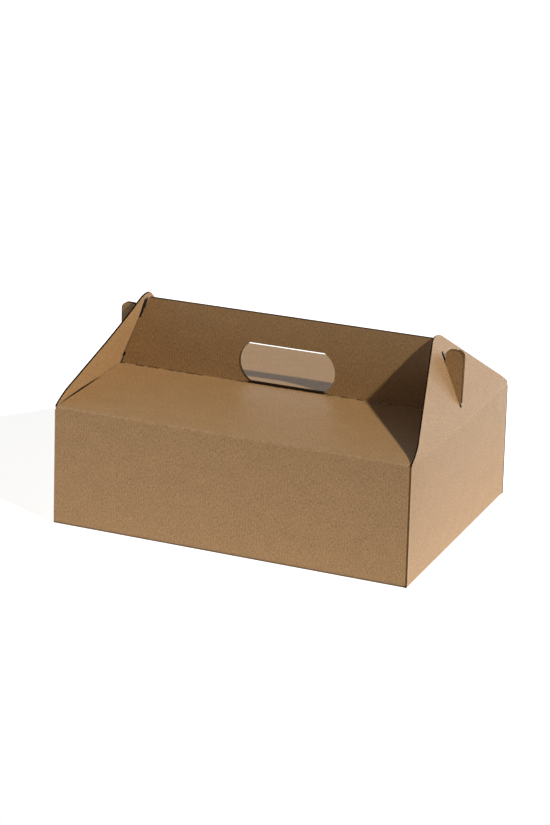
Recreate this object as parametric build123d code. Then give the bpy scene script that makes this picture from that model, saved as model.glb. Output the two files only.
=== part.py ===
from build123d import *
import os
from math import cos, hypot, radians, tan

# Handled carry tray in thin corrugated board, folded from one die-cut sheet.
# Millimetres. X runs along the handle, Y from front to back, Z up.
# The origin lies under the middle of the bottom panel.

# Sheet, with the outer and inner radius of a fold and the radius of the die's corners
board = 1.5
fold_radius = 2.0
inner_fold_radius = 0.6
die_radius = 1.0

# Tray: the closed lids draw its top corners in, and the side walls bow out between them
base_width = 330.0
base_depth = 253.0
wall_height = 108.0
corner_draw_in = 1.1
side_bow = 3.4
bow_hold = 0.83
corner_tab_length = 44.0
corner_tab_taper = 9.0
corner_tab_relief = 4.0
corner_tab_bond = 0.4
corner_groove = 0.5

# Lids and handle leaves, heights from the fold between them
lid_rise = 5.0
lid_end_gap = 0.4
leaf_height = 65.3
leaf_gap = 0.4
hand_hole_width = 91.6
hand_hole_height = 36.0
hand_hole_sill = 1.7
hand_hole_end_radius = 20.7

# Hooked tabs at both ends of each handle leaf, heights from the same fold
neck_bottom = 11.0
neck_top = 45.5
hook_top = 57.3
hook_reach = 5.0
hook_throat = 0.6
hook_outer_radius = 5.5
hook_inner_radius = 6.0

# Gable flaps, heights up their slope from the crease
gable_lean = 22.8
gable_rise = 83.6
gable_tip_radius = 22.0
gable_roll = 12.0
crease_gap = 0.3
shoulder_gap = 1.2
slot_side_clearance = 0.3
slot_foot_clearance = 3.6
slot_head_clearance = 0.4
slot_foot_radius = 1.5

# Places that follow from the sizes above
half_width = base_width / 2
half_depth = base_depth / 2
corner_x = half_width - corner_draw_in
corner_y = half_depth - corner_draw_in
hinge_x = corner_x + side_bow
lid_half_width = corner_x - board - lid_end_gap
fold_z = wall_height + lid_rise
leaf_face_y = leaf_gap / 2 + board
leaf_top_z = fold_z + leaf_height
hook_x = hinge_x - hook_reach
lean = radians(gable_lean)
far = base_width + base_depth


def gable_x(height, depth=0.0):
    # Half-width to the leaning gable, depth in from its outer face, at a height over the crease.
    return hinge_x - height * tan(lean) - depth / cos(lean)


def shoulder_x(height):
    # The ends of the handle leaves follow the gable's inner face, one gap away.
    return gable_x(height, board + shoulder_gap)


def half_turn(shape):
    # The carton looks the same from the other end.
    return Rot(0, 0, 180) * shape


def round_corner(face, x, y, radius):
    corner = face.vertices().sort_by_distance(Vector(x, y, 0))[0]
    return fillet(corner, radius)


def sheet_profile():
    # Side view of the strip that makes both leaves, both lids, front, bottom and back.
    front = [
        (-leaf_face_y, leaf_top_z),
        (-leaf_face_y, fold_z),
        (-corner_y, wall_height),
        (-half_depth, 0),
    ]
    back = [(-y, z) for y, z in reversed(front)]
    radii = [inner_fold_radius, fold_radius, fold_radius]
    outside = FilletPolyline(*front, *back, radius=radii + radii[::-1])
    return make_face(offset(outside, amount=board, side=Side.LEFT))


def hook_outline_points():
    # One end of a leaf from lid to top edge: shoulder, neck, hook, notch, shoulder.
    neck_z = lid_rise + neck_bottom
    notch_z = lid_rise + neck_top
    hook_z = lid_rise + hook_top
    throat_x = gable_x(notch_z) + hook_throat
    shoulder_start = (gable_x(0, board + shoulder_gap) - lid_half_width) / tan(lean)
    return [
        (lid_half_width, shoulder_start),
        (shoulder_x(neck_z), neck_z),
        (hook_x, neck_z),
        (hook_x, hook_z),
        (throat_x, hook_z),
        (throat_x, notch_z),
        (shoulder_x(notch_z), notch_z),
        (shoulder_x(lid_rise + leaf_height), lid_rise + leaf_height),
    ]


def end_outline():
    # Front view of the same strip: walls, lids and leaves with their hooked ends.
    bottom_end = half_width - fold_radius
    wall_end = half_width - board / 2
    wall_top = wall_height - fold_radius
    wall_top_end = wall_end - corner_draw_in
    ends = [(x, wall_height + z) for x, z in hook_outline_points()]
    bottom = [(bottom_end, 0), (bottom_end, fold_radius)]
    walls = [(wall_end, fold_radius), (wall_top_end, wall_top), (lid_half_width, wall_top)]
    right = bottom + walls + ends
    left = [(-x, z) for x, z in reversed(right)]
    face = make_face(Polyline(*right, *left, close=True))
    radii = [die_radius, die_radius, hook_outer_radius, hook_inner_radius]
    radii += [die_radius] * 3
    for side in (1, -1):
        for (x, z), radius in zip(ends[1:], radii):
            face = round_corner(face, side * x, z, radius)
    return face - hand_hole()


def hand_hole():
    hole = SlotOverall(hand_hole_width, 2 * hand_hole_end_radius)
    hole &= Rectangle(hand_hole_width, hand_hole_height)
    return Pos(0, fold_z + hand_hole_sill + hand_hole_height / 2) * hole


def crest_strip(inset, thickness, reach_x, reach_y, bow):
    # A strip of board seen from above, bowed outwards between its two ends.
    # The middle of a cubic moves by three quarters of what pulls its two inner points.
    hold_y = bow_hold * reach_y
    edges = []
    for x in (reach_x - inset, reach_x - inset - thickness):
        pull = x + bow * 4 / 3
        edges.append(Bezier((x, -reach_y), (pull, -hold_y), (pull, hold_y), (x, reach_y)))
    outer, inner = edges
    ends = [Line(outer @ 0, inner @ 0), Line(outer @ 1, inner @ 1)]
    return make_face([outer, ends[1], inner, ends[0]])


def straight_strip(inset, thickness, reach_x, reach_y):
    middle = reach_x - inset - thickness / 2
    return Pos(middle, 0) * Rectangle(thickness, 2 * reach_y)


def side_panel(inset, thickness):
    # Straight where it leaves its fold, bowed at the crease on top.
    foot = straight_strip(inset, thickness, half_width, half_depth)
    crest = crest_strip(inset, thickness, corner_x, corner_y, side_bow)
    return loft([Pos(0, 0, fold_radius) * foot, Pos(0, 0, wall_height) * crest], ruled=True)


def side_fold():
    # The crushed bend between the bottom and a side wall.
    bend = Circle(fold_radius) & Rectangle(fold_radius, fold_radius, align=(Align.MIN, Align.MAX))
    bend = Pos(half_width - fold_radius, fold_radius) * bend
    return extrude(Plane.XZ * bend, half_depth, both=True)


def corner_tab():
    # Glue tab behind the side wall, folded back from the front wall's end.
    root = -half_depth + board - corner_tab_bond
    tip = -half_depth + corner_tab_length
    low, high = corner_tab_relief, wall_height - corner_tab_relief - board
    outline = make_face(
        Polyline(
            (root, low),
            (tip, low + corner_tab_taper),
            (tip, high - corner_tab_taper),
            (root, high),
            close=True,
        )
    )
    layer = side_panel(board - corner_tab_bond, board + corner_tab_bond)
    return layer & extrude(Plane.YZ * outline, far, both=True)


def corner_groove_cutter():
    # The end fold of the front wall turns away from the side wall's cut edge.
    section = Rot(0, 0, 45) * Rectangle(corner_groove, corner_groove)
    foot = Pos(half_width - board, -half_depth) * section
    head = Pos(corner_x - board, -corner_y, wall_height) * section
    return loft([foot, head])


def carton():
    strip = extrude(Plane.YZ * sheet_profile(), far, both=True)
    strip &= extrude(Plane.XZ * end_outline(), far, both=True)
    tab = corner_tab()
    side = [side_panel(0, board), side_fold(), tab, mirror(tab, Plane.XZ)]
    groove = corner_groove_cutter()
    grooves = [groove, mirror(groove, Plane.XZ)]
    tray = strip + side + [half_turn(piece) for piece in side]
    return tray - grooves - [half_turn(cutter) for cutter in grooves]


def slot_foot():
    # The nearest point of the tabs to the hinge is the outer end of the neck's lower edge.
    return hypot(hook_reach, lid_rise + neck_bottom) - slot_foot_clearance


def slot_head():
    # The furthest is on the hook's inner rounding, and the gable swings clear of it.
    centre_x = gable_x(lid_rise + neck_top) + hook_throat + hook_inner_radius
    centre_z = lid_rise + hook_top - hook_inner_radius
    return hypot(hinge_x - centre_x, centre_z) + hook_inner_radius + slot_head_clearance


def gable_outline():
    # Straight edges from the two corners of the tray to a rounded tip, and the slot.
    triangle = make_face(Polyline((-corner_y, 0), (0, gable_rise), (corner_y, 0), close=True))
    triangle = round_corner(triangle, 0, gable_rise, gable_tip_radius)
    foot, head = slot_foot(), slot_head()
    slot_width = 2 * (leaf_face_y + slot_side_clearance)
    slot = Pos(0, (foot + head) / 2) * Rectangle(slot_width, head - foot)
    slot = fillet(slot.vertices().group_by(Axis.Y)[0], slot_foot_radius)
    return triangle - slot


def gable_sheet():
    # Flat above the roll, and drawn in with the corners of the tray where it leaves the crease.
    bow = side_bow * cos(lean)
    flat_height = gable_rise - gable_roll
    flat = Box(board, 2 * corner_y, flat_height, align=(Align.MAX, Align.CENTER, Align.MIN))
    foot = crest_strip(0, board, -bow, corner_y, bow)
    head = Pos(0, 0, gable_roll) * straight_strip(0, board, 0, corner_y)
    return loft([foot, head], ruled=True) + Pos(0, 0, gable_roll) * flat


def right_gable():
    # Built upright against its hinge line, then leaned in over the tray.
    blade = gable_sheet() & extrude(Plane.YZ * gable_outline(), far, both=True)
    leaning = Pos(hinge_x, 0, wall_height) * Rot(0, -gable_lean, 0) * blade
    above = Pos(0, 0, wall_height + crease_gap) * Box(
        far * 2, far * 2, far, align=(Align.CENTER, Align.CENTER, Align.MIN)
    )
    return leaning & above


def main():
    os.makedirs("parts", exist_ok=True)
    gable = right_gable()
    export_step(carton(), "parts/carton.step")
    export_step(gable, "parts/right_gable.step")
    export_step(half_turn(gable), "parts/left_gable.step")


main()
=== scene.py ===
# Folded carry tray in fine flute kraft board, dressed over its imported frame.
# Every paper layer is cut flat, folded along its path and given its thickness.
import math

import bpy
import numpy as np
from mathutils import Matrix, Vector


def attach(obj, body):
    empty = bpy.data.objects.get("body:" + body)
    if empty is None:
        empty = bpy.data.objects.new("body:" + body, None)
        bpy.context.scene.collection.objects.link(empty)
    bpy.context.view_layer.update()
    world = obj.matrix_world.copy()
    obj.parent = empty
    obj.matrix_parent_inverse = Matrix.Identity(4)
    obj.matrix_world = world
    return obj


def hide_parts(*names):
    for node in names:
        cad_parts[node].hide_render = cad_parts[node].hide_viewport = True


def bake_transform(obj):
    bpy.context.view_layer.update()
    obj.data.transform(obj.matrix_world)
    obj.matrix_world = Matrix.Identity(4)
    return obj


print("1 loading the packed frame")
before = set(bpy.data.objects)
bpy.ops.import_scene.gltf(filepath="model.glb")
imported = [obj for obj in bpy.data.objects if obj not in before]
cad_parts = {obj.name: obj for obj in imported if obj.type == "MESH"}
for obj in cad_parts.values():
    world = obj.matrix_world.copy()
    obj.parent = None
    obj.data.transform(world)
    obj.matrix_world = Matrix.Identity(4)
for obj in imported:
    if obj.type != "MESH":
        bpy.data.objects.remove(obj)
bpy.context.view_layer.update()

# All sizes are in millimetres and are turned to metres when a mesh is made.
board = {
    "thickness": 1.5,
    "liner": 0.22,  # paper on each face
    "fluting": 0.28,  # the wavy paper between, spread a little by the die at its edges
    "flutePitch": 2.65,
    "fluteSteps": 8,  # points in one wave
    "shownDepth": 5.0,  # how far in from a cut edge the flutes are made
    "fluteGrip": 0.02,  # how far the fluting reaches into each liner
    "leastFlute": 0.01,  # height and width that a strip of flutes keeps where the paper runs out
    "leastWidth": 0.05,
}
tray = {
    "halfWidth": 165.0,
    "halfDepth": 126.5,
    "wallHeight": 108.0,
    "drawIn": 1.1,  # top corners, pulled in by the lids
    "bow": 3.4,  # crest of the side walls, between the corners
    "bowHold": 0.83,
    "foldRadius": 2.0,
    "lidRise": 5.0,
    "lidHalfWidth": 162.0,
    "cornerCut": 2.0,  # round corners of the wall ends that lap over a side wall
    "innerFoldRadius": 0.6,
    "cornerRadius": 0.9,  # end fold of the front and back walls
    "tabLength": 44.0,
    "tabRelief": 4.0,
    "tabTaper": 9.0,
    "tabBelowTop": 0.5,  # a side wall's tab stops this far under the wall's own top edge
    "lapGap": 0.1,  # between a tab and the wall that it is glued to
    "wallSwell": 0.35,
    "lidSwell": 0.6,
}
handle = {
    "faceY": 1.7,  # outer face of a leaf from the middle of the tray
    "height": 65.3,
    "shoulderGap": 1.6,
    "holeWidth": 91.6,
    "holeHeight": 36.0,
    "holeSill": 1.7,
    "holeEndRadius": 20.7,
    "neckBottom": 11.0,
    "neckTop": 45.5,
    "hookTop": 57.3,
    "hookX": 162.3,
    "hookThroat": 0.3,
    "hookOuterRadius": 5.5,
    "hookInnerRadius": 4.6,
    "underNotch": 8.4,  # a row this far below it, near where shoulder and hook lines cross
    "evenRowsFrom": 40.0,
    "flutesFrom": 0.8,  # over the lid fold
    "swell": 0.2,
    "bellyFade": 110.0,
    "splayFrom": 2.0,  # how far outside the flap the hooks start to part
    "splayOver": 12.0,
}
gable = {
    "lean": math.radians(22.8),
    "rise": 83.6,
    "tipRadius": 22.0,
    "roll": 12.0,
    "creaseRadius": 4.0,
    "slotHalf": 1.72,
    "slotFoot": 13.1,
    "slotHead": 64.57,
    "slotFootRadius": 1.5,
    "tipBendFrom": 40.0,
    "overlap": 1.5,  # the flap's liner starts this far below the crease
    "creaseShade": 3.2,  # how far the painted shade line inside the crease reaches up the flap
    "slotShadeHalf": 2.6,  # half-width and top of the painted shade around the slot
    "slotShadeTop": 74.0,
    "slotShadeSpread": 3.6,  # and how much wider it gets on one side towards the tip
}
# The two ends and the two long sides are alike but for how they have settled: the belly parts
# the handle leaves, the splay parts their hooks, and the tip of a flap curls outwards.
halves = (
    {"turned": False, "seed": 11, "belly": 0.0, "splay": 0.0, "tipBend": 0.0},
    {"turned": True, "seed": 41, "belly": 0.1, "splay": 1.6, "tipBend": 3.0},
)
cornerX = tray["halfWidth"] - tray["drawIn"]
cornerY = tray["halfDepth"] - tray["drawIn"]
hingeX = cornerX + tray["bow"]


def gableX(height, depth=0.0):
    # Half-width to the leaning flap at a height over the crease, depth in from its outer face.
    return hingeX - height * math.tan(gable["lean"]) - depth / math.cos(gable["lean"])


class FoldedPath:
    # Outer face of a folded sheet seen from its end. The heading turns evenly inside each fold,
    # and the points are the running sum of short steps along it.
    def __init__(self, corners, radii, step=0.02):
        corners, radii = np.array(corners, float), np.array(radii, float)
        legs = np.diff(corners, axis=0)
        headings = np.unwrap(np.arctan2(legs[:, 1], legs[:, 0]))
        turns = np.diff(headings)
        tangents = radii * np.tan(np.abs(turns) / 2)
        self.arcs = radii * np.abs(turns)
        before = np.append(0, tangents)
        runs = np.hypot(legs[:, 0], legs[:, 1]) - before - np.append(tangents, 0)
        self.legStarts = np.append(0, np.cumsum(runs[:-1] + self.arcs)) - before
        self.foldStarts = np.cumsum(runs[:-1]) + np.append(0, np.cumsum(self.arcs[:-1]))
        self.foldEnds = self.foldStarts + self.arcs
        self.length = runs.sum() + self.arcs.sum()
        self.headings, self.turns = headings, turns
        edges = np.linspace(0, self.length, int(self.length / step) + 1)
        middle = self.heading((edges[1:] + edges[:-1]) / 2)
        size = np.diff(edges)
        self.s = edges
        self.u = np.append(0, np.cumsum(size * np.cos(middle))) + corners[0, 0]
        self.z = np.append(0, np.cumsum(size * np.sin(middle))) + corners[0, 1]

    def heading(self, s):
        # Direction at a station: the first leg's, plus of each fold's turn the share gone through.
        share = np.clip((s[..., None] - self.foldStarts) / self.arcs, 0, 1)
        return self.headings[0] + (share * self.turns).sum(-1)

    def along(self, leg, distance):
        # Station at a distance from the corner where a leg begins.
        return self.legStarts[leg] + distance

    def at(self, s, depth):
        # Point at a station, depth in from the outer face, which is to the right of the heading.
        angle = self.heading(s)
        u = np.interp(s, self.s, self.u) + depth * np.sin(angle)
        z = np.interp(s, self.s, self.z) - depth * np.cos(angle)
        return u, z


foldZ = tray["wallHeight"] + tray["lidRise"]
stripPath = FoldedPath(
    [
        (0, 0),
        (-tray["halfDepth"], 0),
        (-cornerY, tray["wallHeight"]),
        (-handle["faceY"], foldZ),
        (-handle["faceY"], foldZ + handle["height"]),
    ],
    [tray["foldRadius"], tray["foldRadius"], tray["innerFoldRadius"]],
)
sidePath = FoldedPath(
    [
        (0, 0),
        (-tray["halfWidth"], 0),
        (-hingeX, tray["wallHeight"]),
        (
            -gableX(gable["rise"] * math.cos(gable["lean"])),
            tray["wallHeight"] + gable["rise"] * math.cos(gable["lean"]),
        ),
    ],
    [tray["foldRadius"], gable["creaseRadius"]],
)
crease = (sidePath.foldStarts[1] + sidePath.foldEnds[1]) / 2
leafFoot = stripPath.along(3, 0)
hookThroatX = gableX(tray["lidRise"] + handle["neckTop"]) + handle["hookThroat"]
lappedBy = board["thickness"] + tray["lapGap"]  # how far in a tab lies
metres = 0.001  # in a millimetre
slack = 1e-3  # allowed for rounding where stations are compared
offEdge = 1e4  # a station past every edge, where no wall turns in
mergeWithin = 0.004  # points that round to the same multiples of this become one
besideFold = np.array([0.6, 1.5])  # rows close beside a fold
sharpFrom = math.radians(38)
sideFlatEnd = tray["halfDepth"] - lappedBy - tray["cornerRadius"]  # where a side wall turns in


def window(x, low, high, ramp):
    # 0 at both ends of a span and 1 further in than the ramp, with no kink.
    t = np.clip(np.minimum(x - low, high - x) / ramp, 0, 1)
    return t * t * (3 - 2 * t)


def undulation(u, v, seed, wavelength):
    # A sum of six plane waves with seeded directions, lengths and phases, from -1 to 1.
    rng = np.random.default_rng(seed)
    total = np.zeros(np.broadcast(u, v).shape)
    for angle, phase, length in zip(
        rng.uniform(0, math.pi, 6), rng.uniform(0, 2 * math.pi, 6), rng.uniform(0.7, 1.6, 6)
    ):
        along = u * math.cos(angle) + v * math.sin(angle)
        total += np.sin(2 * math.pi * along / (wavelength * length) + phase)
    return total / 6


def crestDroop(y):
    # How far the bowed crest lies in from its middle: a cubic with even pulls, read at y.
    t = np.linspace(0, 1, 400)
    rest, hold = 1 - t, tray["bowHold"]
    along = cornerY * (-(rest**3) - 3 * hold * t * rest**2 + 3 * hold * t**2 * rest + t**3)
    return tray["bow"] * (1 - np.interp(y, along, 4 * t * rest))


def turnIn(across, depth, flatEnd):
    # Past flatEnd a wall turns by a right angle round the corner and runs on inwards as a tab.
    radius = tray["cornerRadius"]
    turn = np.clip((across - flatEnd) / radius, 0, math.pi / 2)
    beyond = np.maximum(across - flatEnd - radius * math.pi / 2, 0)
    inwards = radius - (radius - depth) * np.cos(turn) + beyond
    return np.minimum(across, flatEnd) + (radius - depth) * np.sin(turn), inwards


def stripLift(s):
    # Height up the wall, from 0 at the bottom to 1 at the top.
    return np.clip(np.interp(s, stripPath.s, stripPath.z) / tray["wallHeight"], 0, 1)


def stripFlatEnd(s):
    # Where the long wall starts to turn in: its end, drawn in with the height, less lap and radius.
    return tray["halfWidth"] - tray["drawIn"] * stripLift(s) - lappedBy - tray["cornerRadius"]


# Lengths of the soft waves in the board, and how far from folds and from ends they fade in.
swell = {
    "wallWave": 90,
    "wallFade": (30, 50),
    "lidWave": 110,
    "lidFade": (35, 40),
    "leafWave": 70,
    "leafFade": (20, 30),
    "leafHalf": 132,  # half of the width in which a leaf swells and bellies
    "sideFade": (30, 40),
}


def stripSwell(x, s, seed):
    # Soft waves of the wall, the lid and the leaf, gone before each fold and end. Each is its
    # undulation times one window along the strip and one across it.
    starts, ends = stripPath.foldStarts, stripPath.foldEnds
    span = tray["lidHalfWidth"]
    wall = undulation(x, s, seed, swell["wallWave"])
    wall = wall * window(s, ends[0], starts[1], swell["wallFade"][0])
    wall = wall * window(x, -span, span, swell["wallFade"][1])
    lid = undulation(x, s, seed + 1, swell["lidWave"])
    lid = lid * window(s, ends[1], starts[2], swell["lidFade"][0])
    lid = lid * window(x, -span, span, swell["lidFade"][1])
    leaf = (undulation(x, s, seed + 2, swell["leafWave"]) + 1) / 2
    leaf = leaf * window(s, leafFoot, leafFoot + offEdge, swell["leafFade"][0])
    leaf = leaf * window(x, -swell["leafHalf"], swell["leafHalf"], swell["leafFade"][1])
    return tray["wallSwell"] * wall + tray["lidSwell"] * lid + handle["swell"] * leaf


def foldStrip(x, s, depth, half):
    # Front half of the long strip: bottom, wall, lid and leaf. The wall's right end turns in.
    starts, ends = stripPath.foldStarts, stripPath.foldEnds
    inWall = (s > starts[0]) & (s < ends[1])
    across, inwards = turnIn(x, depth, np.where(inWall, stripFlatEnd(s), offEdge))
    y, z = stripPath.at(s, inwards - stripSwell(x, s, half["seed"]))
    toLeaf = np.clip((s - ends[1]) / (starts[2] - ends[1]), 0, 1)
    # The hooks part only outside the flap, so that their necks stay flat in its slot.
    outside = np.abs(x) - gableX(s - leafFoot + tray["lidRise"])
    toHook = np.clip((outside - handle["splayFrom"]) / handle["splayOver"], 0, 1) * (s > leafFoot)
    toMiddle = window(x, -swell["leafHalf"], swell["leafHalf"], handle["bellyFade"])
    apart = half["belly"] * toLeaf * toMiddle + half["splay"] * toHook
    return np.stack([across, y - apart, z], -1)


def foldSide(y, s, depth, half):
    # Right side wall and its flap. The droop of the crest fades out down the wall and up the flap,
    # the tip curls with the square of the height over the start of its bend, and the wall's back
    # end turns in.
    foot, rise = sidePath.foldEnds[0], s - crease
    lift = np.clip((s - foot) / (crease - foot), 0, 1)
    fade = np.clip(1 - rise / gable["roll"], 0, 1)
    droop = crestDroop(y) * lift * np.where(rise > 0, fade, 1)
    bent = (rise - gable["tipBendFrom"]) / (gable["rise"] - gable["tipBendFrom"])
    curl = np.clip(bent, 0, 1) ** 2
    wave = undulation(y, s, half["seed"] + 5, swell["wallWave"])
    wave = wave * window(s, foot, crease, swell["sideFade"][0])
    wave = tray["wallSwell"] * wave * window(y, -cornerY, cornerY, swell["sideFade"][1])
    inWall = rise < -gable["overlap"] - slack
    along, inwards = turnIn(y, depth, np.where(inWall, sideFlatEnd, offEdge))
    u, z = sidePath.at(s, inwards - half["tipBend"] * curl - wave)
    narrowed = along * (1 - tray["drawIn"] / tray["halfDepth"] * lift * (rise < 0))
    return np.stack([-u - droop, narrowed, z], -1)


def gridTriangles(rows, columns, keep=None):
    # Two triangles for each cell of a rows by columns grid; keep leaves cells out.
    corner = (np.arange(rows - 1)[:, None] * columns + np.arange(columns - 1)).reshape(-1)
    if keep is not None:
        corner = corner[keep.reshape(-1)]
    a, b, c, d = corner, corner + 1, corner + columns + 1, corner + columns
    return np.concatenate([np.stack([a, b, c], -1), np.stack([a, c, d], -1)])


def slab(outer, inner, triangles, flat, marks, papers):
    # A closed sheet of paper: outer face, inner face turned over, and a rim along every free edge.
    # The papers are the material numbers of these three.
    merged = np.round(outer / mergeWithin).astype(np.int64)
    _, first, where = np.unique(merged, axis=0, return_index=True, return_inverse=True)
    triangles = where.reshape(-1)[triangles]
    outer, inner, flat, marks = outer[first], inner[first], flat[first], marks[first]
    a, b, c = triangles.T
    triangles = triangles[(a != b) & (b != c) & (a != c)]
    used, where = np.unique(triangles, return_inverse=True)
    triangles = where.reshape(-1, 3)
    outer, inner, flat, marks = outer[used], inner[used], flat[used], marks[used]
    count = len(outer)
    edges = np.concatenate([triangles[:, [0, 1]], triangles[:, [1, 2]], triangles[:, [2, 0]]])
    forward, backward = edges[:, 0] * count + edges[:, 1], edges[:, 1] * count + edges[:, 0]
    a, b = edges[~np.isin(forward, backward)].T
    rim = np.concatenate([np.stack([b, a, a + count], -1), np.stack([b, a + count, b + count], -1)])
    return (
        np.concatenate([outer, inner]),
        np.concatenate([triangles, triangles[:, ::-1] + count, rim]),
        np.concatenate([flat, flat]),
        np.concatenate([marks, marks]),
        np.repeat(papers, [len(triangles), len(triangles), len(rim)]),
    )


def halfTurn(points):
    # The other end of the tray is the same sheet turned round the upright axis.
    return points * np.array([-1.0, -1.0, 1.0])


def makeObject(name, sheets, materials):
    # Joins sheets (points, triangles, flat places, marks, papers) into one mesh in metres.
    counts = np.cumsum([0] + [len(sheet[0]) for sheet in sheets])
    points = np.concatenate([sheet[0] for sheet in sheets]) * metres
    triangles = np.concatenate([sheet[1] + start for sheet, start in zip(sheets, counts)])
    numbers = np.concatenate([sheet[4] for sheet in sheets])
    mesh = bpy.data.meshes.new(name)
    mesh.vertices.add(len(points))
    mesh.vertices.foreach_set("co", points.astype(np.float32).ravel())
    mesh.loops.add(triangles.size)
    mesh.loops.foreach_set("vertex_index", triangles.astype(np.int32).ravel())
    mesh.polygons.add(len(triangles))
    mesh.polygons.foreach_set("loop_start", np.arange(0, triangles.size, 3, dtype=np.int32))
    mesh.polygons.foreach_set("material_index", numbers.astype(np.int32))
    for attribute, column in (("blankPlace", 2), ("marksAndShade", 3)):
        values = np.concatenate([sheet[column] for sheet in sheets])
        made = mesh.attributes.new(attribute, "FLOAT_VECTOR", "POINT")
        made.data.foreach_set("vector", values.astype(np.float32).ravel())
    mesh.update(calc_edges=True)
    mesh.validate()
    mesh.shade_smooth()
    mesh.set_sharp_from_angle(angle=sharpFrom)
    for material in materials:
        mesh.materials.append(material)
    made = bpy.data.objects.new(name, mesh)
    bpy.context.scene.collection.objects.link(made)
    print("   ", name, len(triangles), "triangles")
    return made


def spread(*pieces):
    # Sorted stations with doubles taken out.
    return np.unique(np.round(np.concatenate([np.atleast_1d(p) for p in pieces]), 4))


def nearFold(start, end, steps):
    # Stations across a fold and close on both sides of it.
    return spread(np.linspace(start, end, steps + 1), start - besideFold, end + besideFold)


def holeEdge(height):
    # Half-width of the hand hole at a height over the lid fold: flat top and bottom, round ends.
    middle = handle["holeSill"] + handle["holeHeight"] / 2
    away = np.clip(np.abs(height - middle), 0, handle["holeHeight"] / 2)
    radius = handle["holeEndRadius"]
    return handle["holeWidth"] / 2 - radius + np.sqrt(radius**2 - away**2)


def shoulderX(height):
    # End of a leaf at a height over the lid fold: it follows the flap's inner face.
    slope = gableX(height + tray["lidRise"], board["thickness"] + handle["shoulderGap"])
    return np.minimum(tray["lidHalfWidth"], slope)


def hookEdges(height):
    # Inner and outer edge of a hook at a height over the lid fold, with its rounded top corners.
    inner, outer = handle["hookInnerRadius"], handle["hookOuterRadius"]
    upInner = np.clip(height - handle["hookTop"] + inner, 0, inner)
    upOuter = np.clip(height - handle["hookTop"] + outer, 0, outer)
    left = hookThroatX + inner - np.sqrt(inner**2 - upInner**2)
    right = handle["hookX"] - outer + np.sqrt(outer**2 - upOuter**2)
    return np.maximum(left, shoulderX(height) * (height < handle["neckTop"])), right


def leafHeights():
    # Rows of a leaf, closer together where the hole and the hooks are round.
    sill, tall = handle["holeSill"], handle["holeHeight"]
    angles = np.linspace(-1, 1, 17) * math.asin(tall / 2 / handle["holeEndRadius"])
    hole = sill + tall / 2 + handle["holeEndRadius"] * np.sin(angles)
    quarter = np.sin(np.linspace(0, math.pi / 2, 7))
    top = handle["hookTop"]
    return spread(
        0.5,
        hole,
        handle["neckBottom"],
        handle["neckTop"],
        handle["neckTop"] - handle["underNotch"],
        top - handle["hookInnerRadius"] * (1 - quarter),
        top - handle["hookOuterRadius"] * (1 - quarter),
        np.linspace(top, handle["height"], 3),
        np.linspace(handle["evenRowsFrom"], handle["height"], 6),
    )


# How far scuffing, painted highlight and painted shade reach, and how strong they are on side walls.
markReach = {
    "topFold": 1.2,
    "inwardFold": 0.6,
    "footFold": 1.3,
    "crease": 1.3,
    "sideFoot": 1.6,
    "cutEdge": 0.2,
    "cutEdgeGain": 3,
    "sideShare": 0.3,
    "sillHalf": 38.0,  # half-width of the painted shade below the hand hole
    "sillFade": 2.0,
    "sillBelow": 0.3,  # it starts below the inward fold, grows over a ramp and ends past the sill
    "sillRamp": 0.5,
    "sillPast": 0.1,
    "creaseBelow": 0.5,
    "creaseFade": 0.4,
    "slotShadeWidensFrom": 50,
    "slotShadeWidensOver": 20,
}


def stripMarks(x, s, depth):
    # Scuffing with a painted highlight on the outward top fold in x, painted shade in the inward fold
    # in y and painted shade along the foot in z are bell curves over the distance from each fold. In z
    # there is also painted shade from the inward fold to the hole's sill, fading towards the hole's
    # ends.
    middles = (stripPath.foldStarts + stripPath.foldEnds) / 2
    # The top fold gets scuffing with a painted highlight; the inward fold and the foot get painted
    # shade.
    top, inward, foot = (
        np.exp(-(((s - middles[fold]) / markReach[name]) ** 2))
        for fold, name in ((1, "topFold"), (2, "inwardFold"), (0, "footFold"))
    )
    over = s - leafFoot
    # Painted shade under the hand hole, where the leaves' cut edges and the gap between them look black.
    sill = np.clip((over + markReach["sillBelow"]) / markReach["sillRamp"], 0, 1)
    sill = sill * (over < handle["holeSill"] + markReach["sillPast"])
    sill = sill * np.clip((markReach["sillHalf"] - np.abs(x)) / markReach["sillFade"], 0, 1)
    return np.stack([top, inward, np.maximum(foot, sill)], -1)


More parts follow.
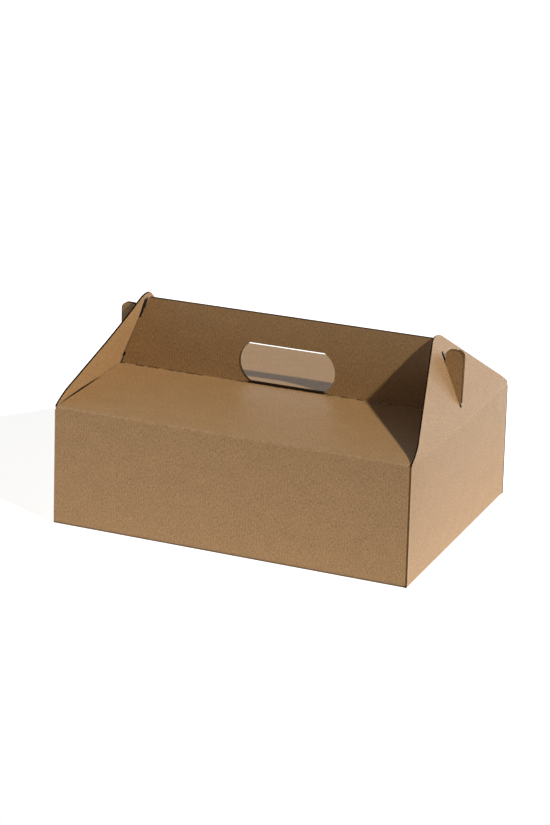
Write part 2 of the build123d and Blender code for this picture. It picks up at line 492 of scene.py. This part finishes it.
def sideMarks(y, s, depth):
    # In x the scuffing on the crease and the foot, as bell curves over the distance, and a painted
    # highlight on the wall's cut edge. In z, on the inner face only, painted shade: the dark line of the
    # gap inside the crease and the dark crevice around the slot. The line's height is a sine of the
    # distance from the middle, so that it is widest half way along each lid.
    rise = s - crease
    foot = (sidePath.foldStarts[0] + sidePath.foldEnds[0]) / 2
    wornAndHighlight = np.exp(-((rise / markReach["crease"]) ** 2))
    wornAndHighlight = np.maximum(wornAndHighlight, np.exp(-(((s - foot) / markReach["sideFoot"]) ** 2)))
    # A painted highlight on the lit liner edge along the side wall's cut edge.
    atEdge = (y < markReach["cutEdge"] - tray["halfDepth"]) * (rise < 0)
    wornAndHighlight = np.maximum(wornAndHighlight, markReach["cutEdgeGain"] * atEdge)
    # Painted shade: a dark line inside the crease for the shadow in the gap under the lid's edge.
    high = gable["creaseShade"] * np.sin(math.pi * np.clip(np.abs(y) / cornerY, 0, 1))
    fade = markReach["creaseFade"]
    creaseShadeLine = np.clip((high - rise) / fade, 0, 1)
    creaseShadeLine = creaseShadeLine * np.clip((rise + markReach["creaseBelow"]) / fade, 0, 1)
    # Painted shade in the crevice round the slot, where the leaf's end shades the flap.
    widened = np.clip((rise - markReach["slotShadeWidensFrom"]) / markReach["slotShadeWidensOver"], 0, 1)
    behind = gable["slotShadeHalf"] + gable["slotShadeSpread"] * widened
    slotShade = (y < gable["slotShadeHalf"]) * (y > -behind)
    slotShade = slotShade * (rise > gable["slotFoot"]) * (rise < gable["slotShadeTop"])
    paintedInnerShade = np.maximum(creaseShadeLine, slotShade) * (depth > board["thickness"] / 2)
    return np.stack([wornAndHighlight * markReach["sideShare"], np.zeros_like(s), paintedInnerShade], -1)


def stripGrid():
    # Flat places (x, s) of the strip. Its columns follow the hand hole and both ends.
    starts, ends = stripPath.foldStarts, stripPath.foldEnds
    rows = spread(
        np.linspace(0, starts[0] - 2, 5),
        nearFold(starts[0], ends[0], 7),
        np.linspace(ends[0] + 3, starts[1] - 3, 12),
        nearFold(starts[1], ends[1], 7),
        np.linspace(ends[1] + 3, starts[2] - 3, 14),
        nearFold(starts[2], ends[2], 4),
        leafFoot + leafHeights(),
    )
    over = rows - leafFoot
    wall = tray["halfWidth"] - tray["drawIn"] * stripLift(rows)
    cut = tray["cornerCut"]
    fromEnd = np.clip(np.minimum(rows - starts[0], starts[1] - rows), 0, cut)
    beyond = np.where(over > 0, shoulderX(over), tray["lidHalfWidth"])
    rounded = wall - cut + np.sqrt(cut**2 - (cut - fromEnd) ** 2)
    left = np.where(rows < starts[1] + slack, rounded, beyond)
    right = np.where(rows < starts[1] + slack, wall - lappedBy - tray["cornerRadius"] - 1, beyond)
    right = np.where(rows < starts[0] + slack, tray["halfWidth"] - tray["foldRadius"], right)
    hole = holeEdge(np.maximum(over, handle["holeSill"]))[:, None]
    inside, outside = np.linspace(-1, 1, 13), np.linspace(0, 1, 23)[1:]
    x = np.concatenate(
        [
            -hole - (left[:, None] - hole) * outside[::-1],
            hole * inside,
            hole + (right[:, None] - hole) * outside,
        ],
        1,
    )
    middle = (over[1:] + over[:-1]) / 2
    inHole = (middle > handle["holeSill"]) & (middle < handle["holeSill"] + handle["holeHeight"])
    across = np.arange(x.shape[1] - 1)
    inCentre = (across >= len(outside)) & (across < len(outside) + len(inside) - 1)
    keep = ~(inHole[:, None] & inCentre)
    return x, np.broadcast_to(rows[:, None], x.shape), gridTriangles(*x.shape, keep)


def endTab(flatEnd, low, high):
    # A millimetre of wall, its turn round the corner, then the tapered tab, as (across, s).
    turned = tray["cornerRadius"] * math.pi / 2
    turn = np.linspace(0, turned, 8)[1:]
    out = np.concatenate([[-1, 0], turn, np.linspace(turned, tray["tabLength"], 5)])
    tapered = np.arange(len(out)) >= len(turn) + 2
    shrink = tray["tabRelief"] + tray["tabTaper"] * (out - turned) / (tray["tabLength"] - turned)
    shrink = np.where(tapered, shrink, 0)
    s = low + shrink + (high - low - 2 * shrink) * np.linspace(0, 1, 14)[:, None]
    return flatEnd(s) + out, s, gridTriangles(*s.shape)


def hookGrids():
    # One grid up to the hook's round top, and the wedge of the neck below the notch.
    heights = leafHeights()
    up = heights[(heights >= handle["neckBottom"] - slack) & (heights <= handle["hookTop"] + slack)]
    left, right = hookEdges(up)
    neck = up[up <= handle["neckTop"] + slack]
    start, throat = shoulderX(neck), hookEdges(neck)[0]
    grids = []
    for low, high, rows, columns in ((left, right, up, 9), (start, throat, neck, 3)):
        x = low[:, None] + (high - low)[:, None] * np.linspace(0, 1, columns)
        s = np.broadcast_to(leafFoot + rows[:, None], x.shape)
        grids.append((x, s, gridTriangles(*x.shape)))
    return grids + [(-x, s, triangles[:, ::-1]) for x, s, triangles in grids]


def stripPatches():
    # Flat places (x, s) of the front half of the strip, its tab and its hooks.
    tab = endTab(stripFlatEnd, stripPath.foldEnds[0], stripPath.foldStarts[1])
    return [stripGrid(), tab] + hookGrids()


def sidePatches():
    # Flat places (y, s) of the right side wall, from the bottom's edge to just under the crease.
    foot, top = sidePath.foldEnds[0], crease - gable["overlap"]
    bend = np.linspace(sidePath.foldStarts[0], foot, 8)
    rows = spread(bend, foot + besideFold, np.linspace(foot + 4, top, 16))
    y, s = np.meshgrid(np.linspace(-tray["halfDepth"], sideFlatEnd - 1, 61), rows)
    tab = endTab(lambda s: sideFlatEnd + 0 * s, foot, top - tray["tabBelowTop"])
    return [(y, s, gridTriangles(*y.shape)), tab]


def tipArc():
    # Centre, end and top of the flap's round tip, as heights up its slope.
    steep, radius = math.atan2(cornerY, gable["rise"]), gable["tipRadius"]
    centre = gable["rise"] - radius / math.sin(steep)
    return centre, centre + radius * math.sin(steep), centre + radius


def gableEdge(rise):
    # Half-depth of a flap at a height up its slope: straight edges to a round tip.
    centre, tangent, _ = tipArc()
    straight = cornerY * (1 - rise / gable["rise"])
    tip = np.sqrt(np.maximum(gable["tipRadius"] ** 2 - (rise - centre) ** 2, 0))
    return np.where(rise < 0, cornerY, np.where(rise < tangent, straight, tip))


def slotEdge(rise):
    # Half-width of the slot at a height up the flap, rounded at its foot.
    radius = gable["slotFootRadius"]
    down = np.clip(gable["slotFoot"] + radius - rise, 0, radius)
    return gable["slotHalf"] - radius + np.sqrt(radius**2 - down**2)


def gablePatches():
    # Flat places (y, s) of the right flap around its slot, from just under the crease to its tip.
    centre, tangent, top = tipArc()
    quarter = np.linspace(0, math.pi / 2, 7)
    tip = np.linspace(0, math.acos((tangent - centre) / gable["tipRadius"]), 13)
    rise = spread(
        -gable["overlap"],
        np.linspace(-0.9, 7.2, 19),
        np.linspace(9, gable["roll"], 2),
        gable["slotFoot"] + gable["slotFootRadius"] * (1 - np.cos(quarter)),
        np.linspace(20, gable["slotHead"], 9),
        np.linspace(gable["slotHead"], tangent, 5),
        centre + gable["tipRadius"] * np.cos(tip),
    )
    outer = gableEdge(rise)
    inner = np.minimum(slotEdge(rise), outer * 0.6)[:, None]
    share = np.linspace(0, 1, 27)[1:]
    reach = outer[:, None] - inner
    inside = np.linspace(-1, 1, 5)
    y = np.concatenate([-inner - reach * share[::-1], inner * inside, inner + reach * share], 1)
    middle = (rise[1:] + rise[:-1]) / 2
    inSlot = (middle > gable["slotFoot"]) & (middle < gable["slotHead"])
    across = np.arange(y.shape[1] - 1)
    inCentre = (across >= len(share)) & (across < len(share) + len(inside) - 1)
    keep = ~(inSlot[:, None] & inCentre)
    s = np.broadcast_to(crease + rise[:, None], y.shape)
    return [(y, s, gridTriangles(*y.shape, keep))]


def stack(patches, fold, place, marks, low, high, half, papers):
    # Folds flat patches at two depths and gives the paper between them.
    a = np.concatenate([p[0].reshape(-1) for p in patches])
    s = np.concatenate([p[1].reshape(-1) for p in patches])
    starts = np.cumsum([0] + [p[0].size for p in patches])
    triangles = np.concatenate([p[2] + start for p, start in zip(patches, starts)])
    depth = (low + high) / 2 + 0 * s
    sheet = [fold(a, s, low, half), fold(a, s, high, half), place(a, s, depth)]
    if half["turned"]:
        sheet = [halfTurn(points) for points in sheet]
    outer, inner, flat = sheet
    return slab(outer, inner, triangles, flat, marks(a, s, depth), papers)


def stripPlace(x, s, depth):
    # Place in the flat blank, in millimetres, and depth from the outer face.
    return np.stack([x, -s, depth], -1)


def sidePlace(y, s, depth):
    # The same for a side wall and its flap, which run the other way across the blank.
    return np.stack([s, y, depth], -1)


def fluteDepths(phase):
    # Both faces of the wavy paper: a sine between the liners, half its thickness either way.
    middle = board["thickness"] / 2
    swing = middle - board["liner"] - board["fluting"] / 2 + board["fluteGrip"]
    wave = middle + swing * np.sin(2 * math.pi * phase / board["flutePitch"])
    return wave - board["fluting"] / 2, wave + board["fluting"] / 2


def fluteLines(low, high):
    # Stations across the flutes, a fixed number for each wave.
    steps = max(2, round((high - low) / board["flutePitch"] * board["fluteSteps"]))
    return np.linspace(low, high, steps + 1)


def fluteSpans():
    # Spans of x on one side of a leaf, each with the cut edges below and above its flutes.
    foot, top = handle["flutesFrom"], handle["height"]
    middle = handle["holeSill"] + handle["holeHeight"] / 2
    slopeTop = gableX(0, board["thickness"] + handle["shoulderGap"])

    def level(height):
        # A cut edge that stays at one height.
        return lambda x: height + 0 * x

    def shoulderHeight(x):
        # Height at which the sloping end of the leaf passes x, up to its top edge.
        return np.minimum((slopeTop - x) / math.tan(gable["lean"]) - tray["lidRise"], top)

    def hookHeight(x):
        # Round top of the hook: a quarter circle down to each side.
        inner, outer = handle["hookInnerRadius"], handle["hookOuterRadius"]
        a = np.clip(hookThroatX + inner - x, 0, inner)
        b = np.clip(x - handle["hookX"] + outer, 0, outer)
        drop = np.sqrt(inner**2 - a**2) - outer + np.sqrt(outer**2 - b**2)
        return handle["hookTop"] - inner + drop

    def holeHalf(x):
        # Half-height of the hand hole at x, round at its ends.
        radius = handle["holeEndRadius"]
        a = np.clip(x - handle["holeWidth"] / 2 + radius, 0, radius)
        return np.minimum(np.sqrt(radius**2 - a**2), handle["holeHeight"] / 2)

    edge = handle["holeWidth"] / 2
    notch, neck = shoulderX(handle["neckTop"]), shoulderX(handle["neckBottom"])
    return [
        (0, edge, level(foot), lambda x: middle - holeHalf(x)),
        (0, edge, lambda x: middle + holeHalf(x), shoulderHeight),
        (edge, notch, level(foot), shoulderHeight),
        (notch, hookThroatX, level(foot), level(handle["neckTop"])),
        (hookThroatX, neck, level(foot), hookHeight),
        (neck, handle["hookX"], level(handle["neckBottom"]), hookHeight),
        (neck, tray["lidHalfWidth"] - 0.2, level(foot), shoulderHeight),
    ]


def stripFlutes():
    # Flutes of a leaf stand upright, and so do those at the wall end that laps over a side wall.
    patches = []
    for low, high, below, above in fluteSpans():
        x = fluteLines(low, high)
        lower, upper = below(x), np.maximum(above(x), below(x) + board["leastFlute"])
        s = leafFoot + lower + (upper - lower) * np.linspace(0, 1, 5)[:, None]
        x = np.broadcast_to(x, s.shape)
        patches.append((x, s, gridTriangles(*x.shape)))
        patches.append((-x, s, gridTriangles(*x.shape)[:, ::-1]))
    cut = tray["cornerCut"]
    s = np.linspace(stripPath.foldEnds[0] + cut, stripPath.foldStarts[1] - cut, 5)[:, None]
    x = fluteLines(0, board["shownDepth"]) - tray["halfWidth"] + tray["drawIn"] * stripLift(s)
    return patches + [(x, np.broadcast_to(s, x.shape), gridTriangles(*x.shape))]


def crossFlutes(s, edge, into):
    # Flutes that lie level, shown for a short way in from a cut edge: (y, s) on a grid.
    y = edge[:, None] + into[:, None] * np.linspace(0, 1, 3)
    s = np.broadcast_to(s[:, None], y.shape)
    triangles = gridTriangles(*y.shape)
    return (y, s, triangles if into.mean() > 0 else triangles[:, ::-1])


def sideFlutes():
    # Flutes at the front cut edge of the side wall.
    s = fluteLines(sidePath.foldEnds[0], crease - gable["overlap"])
    edge, into = np.full(len(s), -tray["halfDepth"]), np.full(len(s), board["shownDepth"])
    return [crossFlutes(s, edge, into)]


def gableFlutes():
    # Flutes at both sloping edges of the flap, at both sides of its slot and past the slot's ends.
    patches = []
    rise = fluteLines(-gable["overlap"], tipArc()[2] - 0.02)
    outer = gableEdge(rise)
    into = -np.minimum(board["shownDepth"], outer)
    patches += [crossFlutes(crease + rise, outer, into), crossFlutes(crease + rise, -outer, -into)]
    rise = fluteLines(gable["slotFoot"], gable["slotHead"])
    inner = slotEdge(rise)
    into = np.maximum(gableEdge(rise) - inner, board["leastWidth"])
    into = np.minimum(board["shownDepth"], into)
    patches += [crossFlutes(crease + rise, inner, into), crossFlutes(crease + rise, -inner, -into)]
    foot, head, past = gable["slotFoot"], gable["slotHead"], 4
    for low, high in ((foot - past, foot), (head, head + past)):
        rise = fluteLines(low, high)
        edge = np.full(len(rise), gable["slotHalf"])
        patches.append(crossFlutes(crease + rise, edge, -2 * edge))
    return patches


def paperSheets(patches, flutes, fold, place, marks, phase, half, core):
    # The two liners and the fluting between them, as (points, triangles, flat, marks, papers).
    # Material 0 is the liner's good face, core the fluting and what faces it, and core + 1 its
    # cut edge.
    thickness, liner = board["thickness"], board["liner"]
    a = np.concatenate([p[0].reshape(-1) for p in flutes])
    s = np.concatenate([p[1].reshape(-1) for p in flutes])
    low, high = fluteDepths(phase(a, s))
    return [
        stack(patches, fold, place, marks, 0.0, liner, half, (0, core, core + 1)),
        stack(patches, fold, place, marks, thickness - liner, thickness, half, (core, 0, core + 1)),
        stack(flutes, fold, place, marks, low, high, half, (core, core, core + 1)),
    ]


def linearColour(text):
    # sRGB hex to the linear values that nodes take.
    values = np.array([int(text[i : i + 2], 16) for i in (1, 3, 5)]) / 255
    linear = np.where(values <= 0.04045, values / 12.92, ((values + 0.055) / 1.055) ** 2.4)
    return (*linear, 1.0)


def addNode(tree, kind, inputs=None, **settings):
    # Adds a node, sets its properties, fills inputs with values or links, and gives its outputs.
    made = tree.nodes.new(kind)
    for key, value in settings.items():
        setattr(made, key, value)
    for key, value in (inputs or {}).items():
        if isinstance(value, bpy.types.NodeSocket):
            tree.links.new(value, made.inputs[key])
        else:
            made.inputs[key].default_value = value
    return made.outputs


print("2 mixing the paper materials")
kraft = {
    "dark": "#81623C",
    "light": "#B98F5E",
    # Scuffed folds lighten, which also serves as a painted highlight; the near black after it is painted
    # shade.
    "wornAndHighlight": "#E0CBAE",
    "paintedShade": "#1E120A",
    "bark": "#2A1E14",
    "roughness": 0.55,
    "specular": 0.5,
    "innerGain": 0.3,  # how much lighter the liner inside the box is
    "diffuseRoughness": 0.4,
    "bumpStrength": 0.4,
    "bumpDistance": 0.0002,
    "grain": 1.4,  # millimetres between clots of the pulp
    "fibreLength": 3.0,
    "fibreWidth": 0.6,
    "cloud": 16.0,
    "ribPatch": 40.0,
    "ribSpan": (0.35, 0.65),
    "tone": {"cloud": 0.15, "grain": 0.95, "fibre": 0.75, "rib": 0.03},  # the share of each
    "toneSpan": (0.68, 1.18),  # sums that are all dark and all light
    "relief": {"grain": 0.6, "fibre": 0.5, "rib": 0.09},
    "barkSpacing": 9.0,
    "barkPower": 6.0,  # of a random number, so that most flecks are too small to see
    "barkSize": 0.05,
    "barkShare": 0.8,
    # Of each kind of mark: spacing and span of the noise that breaks it up, its share, its colour.
    "marks": {
        # X is scuffing with a painted highlight, Y painted shade in the inward fold, and Z painted shade
        # at the foot, under the hand hole, in creases and round the slots.
        "X": (3.0, 0.25, 0.75, 0.3, "wornAndHighlight"),
        "Y": (5.0, 0.47, 0.56, 0.9, "paintedShade"),
        "Z": (4.0, 0.15, 0.35, 0.97, "paintedShade"),
    },
    "flecks": (  # the few large flecks, by their places on the blank
        (-103.7, -179.9),
        (-73.1, -174.1),
        (78.7, -148.2),
        (-127.5, -leafFoot - 35.7),
        (45.8, -leafFoot - 50.4),
        (210.8, -115.3),
    ),
    "fleckRadius": 0.6,
}


def kraftLiner():
    # Kraft linerboard: unbleached pulp, machine made and unsized. Matt tan with cloudy tone, short
    # fibres and dark flecks of bark, and faint ribs where the flutes press through.
    material = bpy.data.materials.new("kraftLinerboard")
    material.use_nodes = True
    tree = material.node_tree
    tree.nodes.clear()
    place = addNode(tree, "ShaderNodeAttribute", attribute_name="blankPlace")["Vector"]
    marks = addNode(tree, "ShaderNodeAttribute", attribute_name="marksAndShade")["Vector"]
    marks = addNode(tree, "ShaderNodeSeparateXYZ", {"Vector": marks})
    across, _, away = addNode(tree, "ShaderNodeSeparateXYZ", {"Vector": place})

    # Tone: clouds, clots and fibres of the pulp, and ribs at the flutes that come and go.
    size = (1 / kraft["fibreWidth"], 1 / kraft["fibreLength"], 1.0)
    stretched = addNode(tree, "ShaderNodeMapping", {"Vector": place, "Scale": size})[0]
    noise = {"Vector": place, "Scale": 1 / kraft["cloud"], "Detail": 3.0}
    cloud = addNode(tree, "ShaderNodeTexNoise", noise)[0]
    noise = {"Vector": place, "Scale": 1 / kraft["grain"], "Detail": 3.0, "Roughness": 0.7}
    grain = addNode(tree, "ShaderNodeTexNoise", noise)[0]
    noise = {"Vector": stretched, "Scale": 1.0, "Detail": 2.0, "Roughness": 0.6}
    fibre = addNode(tree, "ShaderNodeTexNoise", noise)[0]
    turns = 2 * math.pi / board["flutePitch"]
    rib = addNode(tree, "ShaderNodeMath", {0: across, 1: turns}, operation="MULTIPLY")[0]
    rib = addNode(tree, "ShaderNodeMath", {0: rib}, operation="SINE")[0]
    noise = {"Vector": place, "Scale": 1 / kraft["ribPatch"], "Detail": 2.0}
    patchy = addNode(tree, "ShaderNodeTexNoise", noise)[0]
    low, high = kraft["ribSpan"]
    patchy = addNode(tree, "ShaderNodeMapRange", {"Value": patchy, "From Min": low, "From Max": high})[0]
    rib = addNode(tree, "ShaderNodeMath", {0: rib, 1: patchy}, operation="MULTIPLY")[0]
    parts = {"cloud": cloud, "grain": grain, "fibre": fibre, "rib": rib}
    tone = 0.0
    for part, share in kraft["tone"].items():
        tone = {0: parts[part], 1: share, 2: tone}
        tone = addNode(tree, "ShaderNodeMath", tone, operation="MULTIPLY_ADD")[0]
    low, high = kraft["toneSpan"]
    tone = addNode(tree, "ShaderNodeMapRange", {"Value": tone, "From Min": low, "From Max": high})[0]
    pulp = {0: tone, 6: linearColour(kraft["dark"]), 7: linearColour(kraft["light"])}
    colour = addNode(tree, "ShaderNodeMix", pulp, data_type="RGBA")[2]
    inner = {0: away, 1: board["thickness"] / 2}
    inner = addNode(tree, "ShaderNodeMath", inner, operation="GREATER_THAN")[0]
    gain = {0: inner, 1: kraft["innerGain"], 2: 1.0}
    gain = addNode(tree, "ShaderNodeMath", gain, operation="MULTIPLY_ADD")[0]
    colour = addNode(tree, "ShaderNodeVectorMath", {0: colour, "Scale": gain}, operation="SCALE")[0]

    # Bark: small flecks strewn at random, and the few large ones in their places on the blank.
    cells = {"Vector": place, "Scale": 1 / kraft["barkSpacing"], "Randomness": 1.0}
    dots = addNode(tree, "ShaderNodeTexVoronoi", cells)
    size = addNode(tree, "ShaderNodeSeparateColor", {"Color": dots["Color"]})[0]
    size = addNode(tree, "ShaderNodeMath", {0: size, 1: kraft["barkPower"]}, operation="POWER")[0]
    size = addNode(tree, "ShaderNodeMath", {0: size, 1: kraft["barkSize"]}, operation="MULTIPLY")[0]
    bark = addNode(tree, "ShaderNodeMath", {0: dots["Distance"], 1: size}, operation="LESS_THAN")[0]
    for x, y in kraft["flecks"]:
        reach = {0: place, 1: (x, y, 0.0)}
        reach = addNode(tree, "ShaderNodeVectorMath", reach, operation="DISTANCE")["Value"]
        fleck = {0: reach, 1: kraft["fleckRadius"]}
        fleck = addNode(tree, "ShaderNodeMath", fleck, operation="LESS_THAN")[0]
        bark = addNode(tree, "ShaderNodeMath", {0: bark, 1: fleck}, operation="MAXIMUM")[0]

    # Scuffing, painted highlight and painted shade, each broken by noise, then all marks laid on the
    # pulp.
    layers = [(bark, kraft["barkShare"], "bark")]
    for axis, (spacing, low, high, share, tint) in kraft["marks"].items():
        noise = {"Vector": place, "Scale": 1 / spacing, "Detail": 3.0}
        broken = addNode(tree, "ShaderNodeTexNoise", noise)[0]
        broken = {"Value": broken, "From Min": low, "From Max": high}
        broken = addNode(tree, "ShaderNodeMapRange", broken)[0]
        mask = addNode(tree, "ShaderNodeMath", {0: marks[axis], 1: broken}, operation="MULTIPLY")[0]
        layers.append((mask, share, tint))
    for mask, share, tint in layers:
        amount = {0: mask, 1: share}
        amount = addNode(tree, "ShaderNodeMath", amount, operation="MULTIPLY", use_clamp=True)[0]
        colour = {0: amount, 6: colour, 7: linearColour(kraft[tint])}
        colour = addNode(tree, "ShaderNodeMix", colour, data_type="RGBA")[2]

    # The last of these, the painted shade in creases, gaps and slots, is matt.
    matt = {0: amount, 1: -kraft["specular"], 2: kraft["specular"]}
    matt = addNode(tree, "ShaderNodeMath", matt, operation="MULTIPLY_ADD")[0]
    height = 0.0
    for part, share in kraft["relief"].items():
        height = {0: parts[part], 1: share, 2: height}
        height = addNode(tree, "ShaderNodeMath", height, operation="MULTIPLY_ADD")[0]
    bump = {"Height": height, "Strength": kraft["bumpStrength"], "Distance": kraft["bumpDistance"]}
    bump = addNode(tree, "ShaderNodeBump", bump)[0]
    surface = {
        "Base Color": colour,
        "Roughness": kraft["roughness"],
        "Specular IOR Level": matt,
        "Diffuse Roughness": kraft["diffuseRoughness"],
        "Normal": bump,
    }
    shader = addNode(tree, "ShaderNodeBsdfPrincipled", surface)[0]
    addNode(tree, "ShaderNodeOutputMaterial", {"Surface": shader})
    return material


# Fluting medium: recycled pulp corrugated into waves and stuck with starch, dull brown. Die-cut edge:
# torn fibres, browner and rougher than the face. On the long strip and the flaps both are near black,
# painted shade for the dark flute tunnels and shaded cut edges; the side walls keep their own colour.
cores = (
    {"name": "flutingMedium_paintedShade", "dark": "#0A0603", "light": "#160F09", "roughness": 0.9},
    {"name": "dieCutEdge_paintedShade", "dark": "#1A1008", "light": "#3A2614", "roughness": 0.85},
    {"name": "flutingMedium", "dark": "#6E4C2A", "light": "#96703F", "roughness": 0.9},
    {"name": "dieCutEdge", "dark": "#7A5835", "light": "#A27A4C", "roughness": 0.85},
)
plain = {
    "grains": 1.4,  # in a millimetre
    "specular": 0.1,
    "bumpStrength": 0.3,
    "bumpDistance": 0.0001,
}


def plainPaper(values):
    # Paper with no print or finish: a fine grain between two tones.
    material = bpy.data.materials.new(values["name"])
    material.use_nodes = True
    tree = material.node_tree
    tree.nodes.clear()
    place = addNode(tree, "ShaderNodeAttribute", attribute_name="blankPlace")["Vector"]
    noise = {"Vector": place, "Scale": plain["grains"], "Detail": 3.0}
    grain = addNode(tree, "ShaderNodeTexNoise", noise)[0]
    pulp = {0: grain, 6: linearColour(values["dark"]), 7: linearColour(values["light"])}
    colour = addNode(tree, "ShaderNodeMix", pulp, data_type="RGBA")[2]
    bump = {"Height": grain, "Strength": plain["bumpStrength"], "Distance": plain["bumpDistance"]}
    bump = addNode(tree, "ShaderNodeBump", bump)[0]
    surface = {
        "Base Color": colour,
        "Roughness": values["roughness"],
        "Specular IOR Level": plain["specular"],
        "Normal": bump,
    }
    shader = addNode(tree, "ShaderNodeBsdfPrincipled", surface)[0]
    addNode(tree, "ShaderNodeOutputMaterial", {"Surface": shader})
    return material


papers = [kraftLiner()] + [plainPaper(values) for values in cores]
paintedShadeCore, clean = 1, 3  # numbers among the papers of the fluting painted near black as shade, and of the plain one

print("3 cutting and folding the tray")
traySheets = []
for half in halves:
    traySheets += paperSheets(
        stripPatches(), stripFlutes(), foldStrip, stripPlace, stripMarks, lambda x, s: x, half, paintedShadeCore
    )
    traySheets += paperSheets(
        sidePatches(), sideFlutes(), foldSide, sidePlace, sideMarks, lambda y, s: s, half, clean
    )
trayPiece = makeObject("folded_tray", traySheets, papers)
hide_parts("carton")
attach(trayPiece, "tray")

print("4 folding the gable flaps")
for half, name, side in ((halves[0], "right_gable", 1), (halves[1], "left_gable", -1)):
    sheets = paperSheets(
        gablePatches(), gableFlutes(), foldSide, sidePlace, sideMarks, lambda y, s: s, half, paintedShadeCore
    )
    flap = makeObject(name + "_flap", sheets, papers)
    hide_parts(name)
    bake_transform(flap)

print("5 setting the floor, lamps and camera")
studio = {
    "floorHalf": 0.6,  # in metres, as are the next two
    "floorRight": 0.29,  # it ends near the box on the lit side, so that it lights that wall less
    "floorHeight": -0.0002,
    "floor": "#FAFAF8",
    "skyStrength": 0.02,
    "shineStrength": 1.12,  # what a glossy ray sees
    "floorGlow": 0.37,
    "floorShine": 0.5,
    "floorFill": 0.55,
    "keyDirection": (1.24, -0.52, 1.0),
    "keyAngle": math.radians(2.6),
    "keyStrength": 2.98,
    "sheenDirection": (0.485, 0.874, 0.15),  # a wide soft glow behind, seen only as a sheen
    "sheenAngle": math.radians(50),
    "sheenStrength": 1.45,
}
mesh = bpy.data.meshes.new("studio_floor")
far, near, floorZ = studio["floorHalf"], studio["floorRight"], studio["floorHeight"]
corners = [(-far, -far, floorZ), (near, -far, floorZ), (near, far, floorZ), (-far, far, floorZ)]
mesh.from_pydata(corners, [], [(0, 1, 2, 3)])
floor = bpy.data.objects.new("studio_floor", mesh)
bpy.context.scene.collection.objects.link(floor)
material = bpy.data.materials.new("matt_white_floor")
material.use_nodes = True
tree = material.node_tree
tree.nodes.clear()
diffuse = addNode(tree, "ShaderNodeBsdfDiffuse", {"Color": linearColour(studio["floor"])})[0]
rays = addNode(tree, "ShaderNodeLightPath")
seen = studio["floorFill"]
for ray, share in (("Is Glossy Ray", "floorShine"), ("Is Camera Ray", "floorGlow")):
    seen = {0: rays[ray], 1: studio[share], 2: seen}
    seen = addNode(tree, "ShaderNodeMath", seen, operation="MULTIPLY_ADD")[0]
glow = addNode(tree, "ShaderNodeEmission", {"Color": (1, 1, 1, 1), "Strength": seen})[0]
both = addNode(tree, "ShaderNodeAddShader", {0: diffuse, 1: glow})[0]
addNode(tree, "ShaderNodeOutputMaterial", {"Surface": both})
mesh.materials.append(material)

world = bpy.data.worlds.new("studio")
bpy.context.scene.world = world
world.use_nodes = True
tree = world.node_tree
tree.nodes.clear()
rays = addNode(tree, "ShaderNodeLightPath")
shine = {
    "Value": rays["Is Glossy Ray"],
    "To Min": studio["skyStrength"],
    "To Max": studio["shineStrength"],
}
shine = addNode(tree, "ShaderNodeMapRange", shine)[0]
strength = {0: shine, 1: rays["Is Camera Ray"]}
strength = addNode(tree, "ShaderNodeMath", strength, operation="MAXIMUM")[0]
sky = addNode(tree, "ShaderNodeBackground", {"Color": (1, 1, 1, 1), "Strength": strength})[0]
addNode(tree, "ShaderNodeOutputWorld", {"Surface": sky})

for name in ("key", "sheen"):
    direction = Vector(studio[name + "Direction"]).normalized()
    lamp = bpy.data.lights.new(name + "_lamp", "SUN")
    lamp.angle, lamp.energy = studio[name + "Angle"], studio[name + "Strength"]
    made = bpy.data.objects.new(name + "_lamp", lamp)
    made.rotation_euler = direction.to_track_quat("Z", "Y").to_euler()
    made.visible_diffuse = lamp.use_shadow = name == "key"
    made.visible_glossy = name == "sheen"
    bpy.context.scene.collection.objects.link(made)

view = {
    "lens": 106.95,
    "azimuth": math.radians(22.76),
    "elevation": math.radians(18.61),
    "roll": math.radians(1.58),
    "place": (0.78623, -1.89936, 0.78217),
}
az, el = view["azimuth"], view["elevation"]
back = Vector((math.sin(az) * math.cos(el), -math.cos(az) * math.cos(el), math.sin(el)))
right = Vector((math.cos(az), math.sin(az), 0))
axes = Matrix([right, back.cross(right), back]).transposed()
rotation = axes @ Matrix.Rotation(view["roll"], 3, "Z")
lens = bpy.data.cameras.new("camera")
lens.lens = view["lens"]
camera = bpy.data.objects.new("camera", lens)
camera.matrix_world = Matrix.Translation(view["place"]) @ rotation.to_4x4()
bpy.context.scene.collection.objects.link(camera)
bpy.context.scene.camera = camera
bpy.context.scene.view_settings.view_transform = "Standard"
